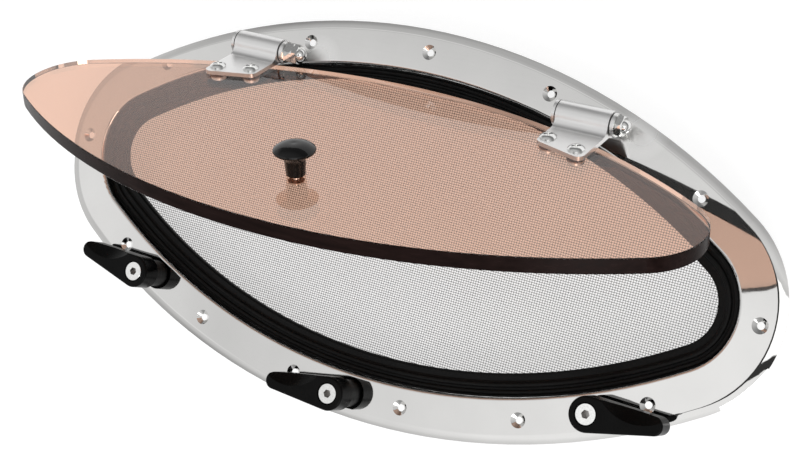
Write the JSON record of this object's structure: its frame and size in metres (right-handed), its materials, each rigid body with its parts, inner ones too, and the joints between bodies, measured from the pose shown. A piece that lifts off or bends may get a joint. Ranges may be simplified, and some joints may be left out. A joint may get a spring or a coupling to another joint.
{
  "type": "opening porthole",
  "caption": "Oval opening porthole: polished flange with collar, tinted pane on two hinges with a pull knob, swivel latches, rubber seal and insect screen.",
  "frame": {"origin": "centre of the flange's back face, the face that beds on the hull or cabin side", "axes": "+X along the long axis of the oval, +Y towards the hinges, +Z out of the flange into the cabin"},
  "size_m": [0.4998, 0.2406, 0.1894],
  "materials": {
    "polished_steel": "mirror-polished stainless steel",
    "hinge_steel": "polished cast stainless steel",
    "fastener_steel": "bright stainless steel",
    "tinted_acrylic": "clear bronze-tinted acrylic",
    "seal_rubber": "satin black rubber",
    "black_plastic": "black moulded plastic",
    "lever_plastic": "satin black nylon",
    "knob_plastic": "gloss black plastic",
    "washer_nylon": "natural nylon washer",
    "screen_mesh": "grey woven insect screen, about two thirds open"
  },
  "bodies": {
    "root": {"collar_hinge_side": "polished_steel", "collar_latch_side": "polished_steel", "flange": "polished_steel", "hinge_bolt_left": "fastener_steel", "hinge_bolt_right": "fastener_steel", "hinge_bracket_left": "hinge_steel", "hinge_bracket_right": "hinge_steel", "hinge_lock_nut": "fastener_steel", "hinge_nut_left": "fastener_steel", "hinge_nut_right": "fastener_steel", "hinge_washer_left": "fastener_steel", "hinge_washer_right": "fastener_steel", "insect_screen": "screen_mesh", "latch_post_left": "fastener_steel", "latch_post_middle": "fastener_steel", "latch_post_right": "fastener_steel", "latch_screw_left": "fastener_steel", "latch_screw_middle": "fastener_steel", "latch_screw_right": "fastener_steel", "latch_spacer_left": "black_plastic", "latch_spacer_middle": "black_plastic", "latch_spacer_right": "black_plastic", "screen_ring": "black_plastic", "seal": "seal_rubber", "seal_seat": "polished_steel"},
    "pane": {"pane": "tinted_acrylic", "knob": "knob_plastic", "knob_screw": "fastener_steel", "knob_washer": "washer_nylon", "hinge_leaf_left": "hinge_steel", "hinge_leaf_right": "hinge_steel", "leaf_screws": "fastener_steel", "leaf_washers": "washer_nylon", "leaf_nuts": "fastener_steel"},
    "lever_left": {"latch_lever_left": "lever_plastic"},
    "lever_middle": {"latch_lever_middle": "lever_plastic"},
    "lever_right": {"latch_lever_right": "lever_plastic"}
  },
  "joints": [
    {"name": "pane_hinge", "type": "hinge", "parent": "root", "child": "pane", "pos_m": [0, 0.0875, 0.0124], "axis": [-1, 0, 0], "range_deg": [-60, 30]},
    {"name": "latch_left", "type": "hinge", "parent": "root", "child": "lever_left", "pos_m": [-0.1621, -0.072, 0.0223], "axis": [0, 0, -1], "range_deg": [0, 107]},
    {"name": "latch_middle", "type": "hinge", "parent": "root", "child": "lever_middle", "pos_m": [-0.0008, -0.1068, 0.0223], "axis": [0, 0, -1], "range_deg": [0, 94]},
    {"name": "latch_right", "type": "hinge", "parent": "root", "child": "lever_right", "pos_m": [0.1604, -0.0714, 0.0223], "axis": [0, 0, 1], "range_deg": [0, 107]}
  ]
}
